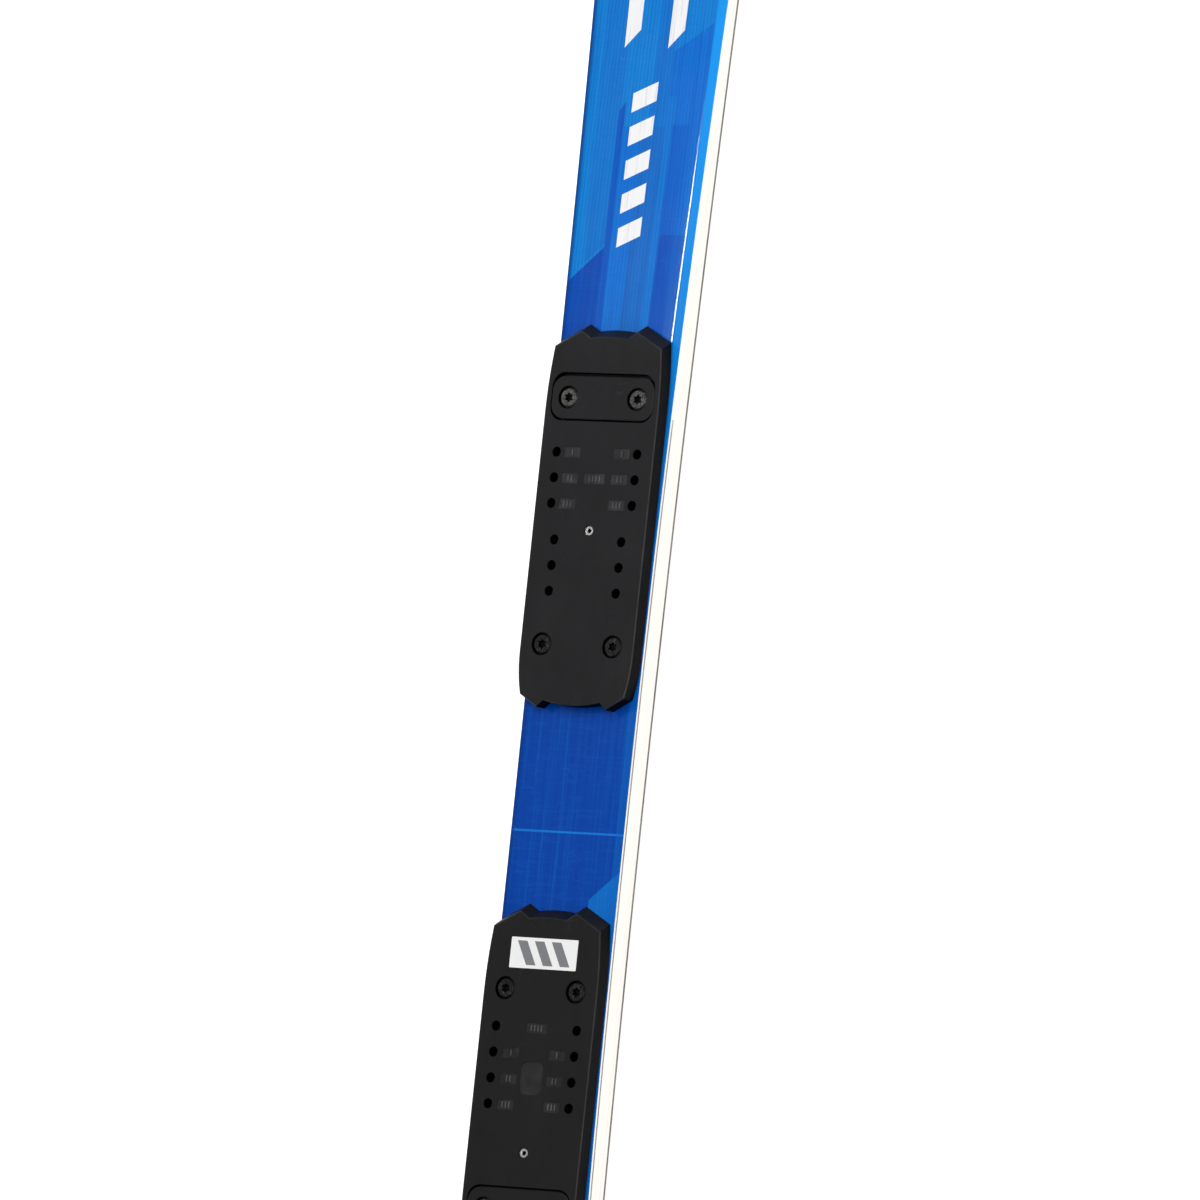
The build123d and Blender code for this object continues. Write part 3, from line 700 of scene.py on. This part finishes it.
end_mask = calc(tree, "DIVIDE", ends, 0.4 * mm, clamp=True)
tree.links.new(calc(tree, "MULTIPLY", side_mask, end_mask), leave.inputs["Mask"])

topsheet_print, tree = blank_material("printed_topsheet")
point = here(tree)
along = calc(tree, "SUBTRACT", node(tree, "ShaderNodeSeparateXYZ", {0: point}).outputs[0], mark_x)
across = node(tree, "ShaderNodeAttribute", attribute_name="across").outputs["Fac"]
streaks = use(tree, lengthwise_lines, Point=point, Lines_per_metre=1500.0, Length_share=0.012)
marks = use(tree, use_marks, Point=point, Scratches_per_metre=180.0)

deep_blue, light_blue = paint(0, 64, 160), paint(6, 128, 211)
facets = [
    # colour, left, right, front, back, front slant, back slant, blur
    (light_blue, 0.0, 1.0, 0.60, 0.2665, 0.0, 0.064, 0.006),
    (paint(8, 118, 204), 0.13, 0.285, 0.60, 0.275, 0.0, 0.064, 0.03),
    (paint(8, 114, 203), 0.53, 0.64, 0.60, 0.295, 0.0, 0.0, 0.02),
    (paint(0, 73, 176), 0.0, 0.30, 0.2665, 0.15, 0.064, 0.0, 0.006),
    (paint(0, 86, 188), 0.285, 0.325, 0.352, 0.15, 0.10, 0.0, 0.008),
    (paint(2, 112, 209), 0.33, 0.485, 0.345, 0.15, 0.0, 0.0, 0.008),
    (paint(16, 108, 197), 0.485, 0.70, 0.345, 0.15, 0.0, 0.0, 0.012),
    (paint(0, 109, 208), 0.655, 0.93, 0.382, 0.15, 0.053, 0.0, 0.006),
    (paint(8, 116, 206), 0.655, 0.715, 0.36, 0.15, 0.0, 0.0, 0.012),
    (paint(0, 97, 198), 0.715, 0.84, 0.346, 0.15, 0.0, 0.0, 0.012),
    (paint(0, 80, 184), 0.725, 0.85, 0.292, 0.15, 0.0, 0.0, 0.012),
    (paint(0, 92, 190), 0.85, 0.93, 0.292, 0.15, 0.0, 0.0, 0.02),
    (paint(8, 106, 194), 0.757, 1.01, -0.032, -0.30, 0.058, 0.0, 0.006),
    (paint(12, 98, 186), 0.12, 0.34, -0.25, -0.62, -0.06, -0.06, 0.006),
    (paint(3, 118, 206), 0.34, 0.62, -0.31, -0.70, 0.15, 0.06, 0.006),
    (paint(0, 52, 140), 0.0, 0.30, 0.62, 0.52, -0.10, -0.10, 0.006),
    (paint(0, 84, 190), 0.62, 1.01, 0.74, 0.56, 0.09, 0.09, 0.006),
    (paint(18, 118, 214), 0.0, 1.0, 0.0007, -0.0007, 0.0, 0.0, 0.01),
]
colour = deep_blue
for tint, left, right, front, back, front_slant, back_slant, blur in facets:
    mask = use(
        tree, printed_facet, Along=along, Across=across, Left=left - blur, Right=right + blur, Front=front,
        Back=back, Front_slant=front_slant, Back_slant=back_slant, Blur=blur,
    )["Mask"]
    colour = blended(tree, mask, colour, tint)
broad_half = calc(tree, "MULTIPLY", streaks["Broad lines"], 0.5)
streaky = calc(tree, "MULTIPLY_ADD", streaks["Lines"], 0.5, broad_half)
colour = blended(tree, spread(tree, streaky, 0.5, 1.0, 0.0, 0.22), colour, paint(20, 136, 224))
colour = blended(tree, spread(tree, streaky, 0.5, 0.0, 0.0, 0.30), colour, paint(0, 48, 136))
pinstripe_pitch = 1.9 * mm
sideways = node(tree, "ShaderNodeSeparateXYZ", {0: point}).outputs[1]
wave = calc(tree, "SINE", calc(tree, "MULTIPLY", sideways, 2 * pi / pinstripe_pitch))
forward = spread(tree, along, 0.0, 0.3, 0.3, 1.0)
pinstripes = calc(tree, "MULTIPLY", spread(tree, wave, 0.0, 1.0, 0.0, 0.30), forward)
colour = blended(tree, pinstripes, colour, paint(0, 70, 168))
weave = noise(tree, point, (700, 90, 90), 2.0)
colour = blended(tree, spread(tree, weave, 0.5, 0.75, 0.0, 0.22), colour, paint(10, 92, 190))
# Painted shade along the left rim, where the shoulder turns away from the light.
left_rim_shade = spread(tree, across, 0.012, 0.045, 1.0, 0.0)
colour = blended(tree, calc(tree, "MULTIPLY", left_rim_shade, 0.85), colour, paint(0, 52, 128))
# Painted highlight along the right shoulder, fading to a darker blue towards and beside the front plate as
# painted shade.
right_rim_highlight = spread(tree, across, 0.925, 0.945, 0.0, 1.0)
rim_light_and_shade_blue = blended(tree, spread(tree, along, -0.02, 0.36, 0.0, 1.0), paint(4, 90, 178), paint(16, 148, 236))
right_rim_highlight = calc(tree, "MULTIPLY", right_rim_highlight, spread(tree, along, 0.1, 0.25, 0.45, 1.0))
colour = blended(tree, right_rim_highlight, colour, rim_light_and_shade_blue)
colour = scratched(tree, colour, marks, 0.07, paint(120, 170, 225))
roughness = calc(tree, "MULTIPLY_ADD", marks["Dullness"], 0.10, 0.30)
surface(
    tree, colour, roughness, streaks["Broad lines"], 0.003 * mm,
    Coat_Weight=calc(tree, "MULTIPLY_ADD", marks["Scratches"], -0.4, 0.75), Coat_Roughness=0.05,
    Specular_IOR_Level=0.08,
)

mesh = long_mesh("topsheet_foil", [(topsheet_section, -half_length, half_length)])
share_across = mesh.attributes.new("across", "FLOAT", "POINT")
for vertex, share in zip(mesh.vertices, share_across.data):
    share.value = 0.5 - vertex.co.y / (2 * top_half_width(vertex.co.x))
topsheet_piece = placed("topsheet_foil", mesh, "ski", topsheet_print, 40)
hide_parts("topsheet")

# ---------------------------------------------------------------- topsheet bars
# White screen print under the clear coat: five slanted bars in a row, and two longer ones towards the tip.
# The ink lets a few lengthwise grey streaks through.
print_lift = 0.03 * mm


def bar_mesh(name, bars):
    """Thin slanted bars that lie on the topsheet. Each is (front, back, left, right, slant)."""
    shell = bmesh.new()
    for front, back, left, right, slant in bars:
        rows = []
        for i in range(9):
            row = []
            for j in range(5):
                share = left + (right - left) * j / 4
                x = mark_x + back + (front - back) * i / 8 + slant * (j / 4 - 0.5)
                y = top_half_width(x) * (1 - 2 * share)
                row.append(shell.verts.new((x, y, top_height(x) + print_lift)))
            rows.append(row)
        for near, far in zip(rows, rows[1:]):
            for j in range(4):
                shell.faces.new((near[j], near[j + 1], far[j + 1], far[j]))
    bmesh.ops.recalc_face_normals(shell, faces=shell.faces)
    lifted = bmesh.ops.extrude_face_region(shell, geom=shell.faces[:])
    below = [item for item in lifted["geom"] if isinstance(item, bmesh.types.BMVert)]
    bmesh.ops.translate(shell, verts=below, vec=(0, 0, -1.5 * print_lift))
    return shell_mesh(name, shell)


white_ink, tree = blank_material("white_ink")
streaks = use(tree, lengthwise_lines, Point=here(tree), Lines_per_metre=900.0, Length_share=0.02)
greyed = spread(tree, streaks["Lines"], 0.55, 1.0, 0.0, 0.8)
colour = blended(tree, greyed, paint(240, 240, 242), paint(205, 206, 212))
roughness = spread(tree, streaks["Patches"], 0, 1, 0.25, 0.4)
surface(tree, colour, roughness, streaks["Lines"], 0.004 * mm, Coat_Weight=0.6)

row_back, row_front = 285 * mm, 367 * mm
row_left, row_right = 0.377, 0.56
bar_length, row_slant = 9.5 * mm, 6 * mm
row_step = (row_front - row_back - bar_length - row_slant) / 4
row_starts = [row_back + row_slant / 2 + i * row_step for i in range(5)]
row_bars = [(start + bar_length, start, row_left, row_right, row_slant) for start in row_starts]
placed("topsheet_row_bars", bar_mesh("topsheet_row_bars", row_bars), "ski", white_ink, crease=60)
long_back, long_front = 388 * mm, 470 * mm
long_width, long_slant = 0.11, 9 * mm
long_bars = [(long_front, long_back, left, left + long_width, long_slant) for left in (0.27, 0.60)]
placed("topsheet_long_bars", bar_mesh("topsheet_long_bars", long_bars), "ski", white_ink, crease=60)

# ---------------------------------------------------------------- binding plates and pads
# Black glass-filled nylon mouldings on thin rubber pads, each held by two screws near the boot.
# The mould leaves a fine satin grain; the narrow bevel round the top is painted lighter, a painted highlight
# with patchy rubbing, and the upright faces carry painted shade.
plate_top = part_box("front_plate")[1].z

# Where a moulding is painted light, a painted highlight with patchy rubbing, along its bevels and a little
# in its recesses, and where it falls away, which is painted shade.
moulding_rim_light_and_side_shade, entry, leave = group(
    "moulding_rim_light_and_side_shade",
    [
        ("Point", "Vector", None), ("Facing", "Vector", None),
        ("Rim height", "Float", 0.5 * mm), ("Top", "Float", plate_top),
    ],
    [("Rim", "Float"), ("Painted side shade", "Float")],
)
tree = moulding_rim_light_and_side_shade
height = node(tree, "ShaderNodeSeparateXYZ", {0: entry["Point"]}).outputs[2]
upward = node(tree, "ShaderNodeSeparateXYZ", {0: entry["Facing"]}).outputs[2]
below = calc(tree, "DIVIDE", calc(tree, "SUBTRACT", entry["Top"], height), entry["Rim height"])
# Painted highlight with patchy rubbing: a band just under the top, fuller on faces that point up.
band = calc(tree, "MINIMUM", spread(tree, below, 0.02, 0.12, 0, 1), spread(tree, below, 0.9, 1.2, 1, 0))
bevels = spread(tree, upward, 0.9, 0.98, 0.6, 1.0)
patchy = spread(tree, noise(tree, entry["Point"], (120,) * 3, 4.0), 0.35, 0.65, 0.3, 1.0)
tree.links.new(calc(tree, "MULTIPLY", calc(tree, "MULTIPLY", band, bevels), patchy), leave.inputs["Rim"])
# Painted shade: upright faces below the rim are painted dark.
upright = spread(tree, upward, 0.1, 0.6, 1.0, 0.0)
under_rim = spread(tree, below, 0.6, 1.2, 0.0, 1.0)
tree.links.new(calc(tree, "MULTIPLY", upright, under_rim), leave.inputs["Painted side shade"])


def moulded(name, dark, light, rim_share):
    """Satin black moulding with fine grain, flow marks, scuffs, a rim painted lighter as a highlight with
    patchy rubbing, and painted shade on upright faces.
    """
    material, tree = blank_material(name)
    point = here(tree)
    facing = node(tree, "ShaderNodeTexCoord").outputs["Normal"]
    texture = use(tree, moulded_grain, Point=point, Grains_per_metre=3200.0)
    marks = use(tree, use_marks, Point=point, Scratches_per_metre=200.0)
    relief = use(tree, moulding_rim_light_and_side_shade, Point=point, Facing=facing)
    colour = blended(tree, texture["Flow"], dark, light)
    colour = scratched(tree, colour, marks, 0.10, paint(90, 90, 92))
    # Painted highlight, patchy like rubbing, on the rim.
    colour = blended(tree, calc(tree, "MULTIPLY", relief["Rim"], rim_share), colour, paint(84, 84, 86))
    # Painted shade on the upright faces, which also lose most of their shine.
    colour = blended(tree, relief["Painted side shade"], colour, paint(4, 4, 5))
    roughness = calc(tree, "MULTIPLY_ADD", marks["Dullness"], 0.12, 0.46)
    shine = spread(tree, relief["Painted side shade"], 0.0, 1.0, 0.2, 0.03)
    surface(tree, colour, roughness, texture["Grain"], 0.02 * mm, Specular_IOR_Level=shine)
    return material


front_moulding = moulded("front_plate_nylon", paint(22, 22, 24), paint(28, 28, 30), 0.32)
rear_moulding = moulded("rear_plate_nylon", paint(18, 17, 18), paint(24, 23, 24), 0.18)
pad_rubber = rubber("pad_rubber", paint(20, 20, 21), paint(30, 30, 31))
for end, moulding in (("front", front_moulding), ("rear", rear_moulding)):
    finished(f"{end}_plate", moulding)
    finished(f"{end}_anchor", moulding)
    finished(f"{end}_plate_pad", pad_rubber)

# ---------------------------------------------------------------- screws and pins
# Pan-head steel screws with a six-lobed drive; the anchors' pair is zinc-flaked grey, the fixed pair black.
# A bright hollow pin is pressed into each plate.


def screw_steel(name, dark, light, speckle, head):
    """Passivated steel: fine speckles and light wear, and painted shade in the hollow under the head's top.
    """
    material, tree = blank_material(name)
    point = here(tree)
    flakes = noise(tree, point, (2600,) * 3, 4.0, 0.7)
    worn = noise(tree, point, (500,) * 3, 3.0)
    colour = blended(tree, spread(tree, flakes, 0.5, 0.68, 0.0, speckle), dark, light)
    colour = blended(tree, spread(tree, worn, 0.55, 0.75, 0.0, 0.3), colour, light)
    height = node(tree, "ShaderNodeSeparateXYZ", {0: point}).outputs[2]
    head_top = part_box(head)[1].z
    # Painted shade: the hollow under the head's top is painted near black.
    hollow_shade = spread(tree, height, head_top - 1.3 * mm, head_top - 0.7 * mm, 1.0, 0.0)
    colour = blended(tree, hollow_shade, colour, paint(4, 4, 4))
    roughness = spread(tree, flakes, 0.3, 0.7, 0.32, 0.55)
    surface(tree, colour, roughness, flakes, 0.02 * mm, Metallic=0.85)
    return material


black_screw = screw_steel("black_screw", paint(26, 26, 27), paint(128, 127, 126), 0.35, "front_fixed_screws")
grey_screw = screw_steel("flaked_screw", paint(54, 54, 53), paint(166, 166, 162), 0.8, "front_anchor_screws")
pin_metal = screw_steel("bright_pin", paint(190, 190, 190), paint(232, 231, 228), 0.7, "front_plate_pin")
for end in ("front", "rear"):
    finished(f"{end}_fixed_screws", black_screw)
    finished(f"{end}_anchor_screws", grey_screw)
    finished(f"{end}_plate_pin", pin_metal)

# ---------------------------------------------------------------- badge and index ticks
# A white glossy label with three plain grey diagonal stripes is set in the rear plate.
# Small raised index ticks are moulded in the recesses beside the binding holes.
badge_gloss, tree = blank_material("badge_gloss")
point = here(tree)
marks = use(tree, use_marks, Point=point, Scratches_per_metre=300.0)
fade = noise(tree, point, (90,) * 3)
colour = blended(tree, fade, paint(244, 244, 244), paint(236, 236, 234))
colour = scratched(tree, colour, marks, 0.15, paint(190, 190, 190))
surface(tree, colour, spread(tree, marks["Dullness"], 0, 1, 0.2, 0.35), fade, 0.01 * mm, Coat_Weight=0.4)
finished("rear_badge", badge_gloss)

stripe_ink, tree = blank_material("badge_stripe_ink")
fade = noise(tree, here(tree), (900,) * 3, 3.0)
colour = blended(tree, fade, paint(112, 114, 118), paint(128, 130, 134))
surface(tree, colour, spread(tree, fade, 0, 1, 0.25, 0.4), fade, 0.01 * mm)


def slab_mesh(name, outlines, low, high, bevel):
    """Small flat slabs with bevelled tops. Each outline is a list of (x, y) corners."""
    shell = bmesh.new()
    for outline in outlines:
        middle = Vector((sum(x for x, y in outline), sum(y for x, y in outline))) / len(outline)
        rings = []
        for z, inset in ((low, 0), (high - bevel, 0), (high, bevel)):
            ring = []
            for x, y in outline:
                away = middle - Vector((x, y))
                pulled = Vector((x, y)) + Vector([inset * (1 if side > 0 else -1) for side in away])
                ring.append(shell.verts.new((pulled.x, pulled.y, z)))
            rings.append(ring)
        skin(shell, rings)
    return shell_mesh(name, shell)


badge_low, badge_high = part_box("rear_badge")
badge_border = 1.6 * mm
stripe_width, stripe_lean, stripe_pitch = 5.4 * mm, 6.0 * mm, 9.6 * mm
stripe_root, stripe_lift, stripe_bevel = 0.05 * mm, 0.04 * mm, 0.02 * mm
stripe_x = (badge_low.x + badge_border, badge_high.x - badge_border)
stripes = []
for i in (-1, 0, 1):
    middle = i * stripe_pitch
    corners = []
    for x, lean in ((stripe_x[0], -1), (stripe_x[1], 1)):
        for side in (-1, 1):
            corners.append((x, middle + lean * stripe_lean / 2 + side * stripe_width / 2))
    stripes.append([corners[0], corners[1], corners[3], corners[2]])
label_top = badge_high.z
mesh = slab_mesh("badge_stripes", stripes, label_top - stripe_root, label_top + stripe_lift, stripe_bevel)
placed("badge_stripes", mesh, "ski", stripe_ink)

row_pitch = 12.5 * mm
hole_y = 45.7 / 2 * mm
label_depth = 0.3 * mm
tick_length, tick_width, tick_pitch = 3.0 * mm, 0.75 * mm, 1.9 * mm
tick_root, tick_height, tick_bevel = 0.05 * mm, 0.2 * mm, 0.08 * mm


def ticks(x, y, count):
    """Outlines of a few ticks side by side across a recess."""
    made = []
    for i in range(count):
        middle = y + (i - (count - 1) / 2) * tick_pitch
        back, front = x - tick_length / 2, x + tick_length / 2
        right, left = middle - tick_width / 2, middle + tick_width / 2
        made.append([(back, right), (front, right), (front, left), (back, left)])
    return made


front_first, rear_first = mark_x + 183.1 * mm, mark_x - 95.8 * mm
front_side, rear_side = hole_y - 8.9 * mm, hole_y - 9.9 * mm
front_ticks = ticks(front_first - row_pitch, 0, 4)
rear_ticks = ticks(rear_first, 0, 4)
for row in range(3):
    for side in (1, -1):
        front_ticks += ticks(front_first - row * row_pitch, side * front_side, row + 1)
        rear_ticks += ticks(rear_first - (row + 1) * row_pitch, side * rear_side, row + 1)
# The ticks take the rim's painted highlight at full share, patchy like rubbing.
tick_moulding = moulded("rubbed_and_highlit_index_ticks", paint(44, 44, 46), paint(60, 60, 62), 1.0)
for end, outlines in (("front", front_ticks), ("rear", rear_ticks)):
    recess = plate_top - label_depth
    mesh = slab_mesh(f"{end}_index_ticks", outlines, recess - tick_root, recess + tick_height, tick_bevel)
    placed(f"{end}_index_ticks", mesh, "ski", tick_moulding)
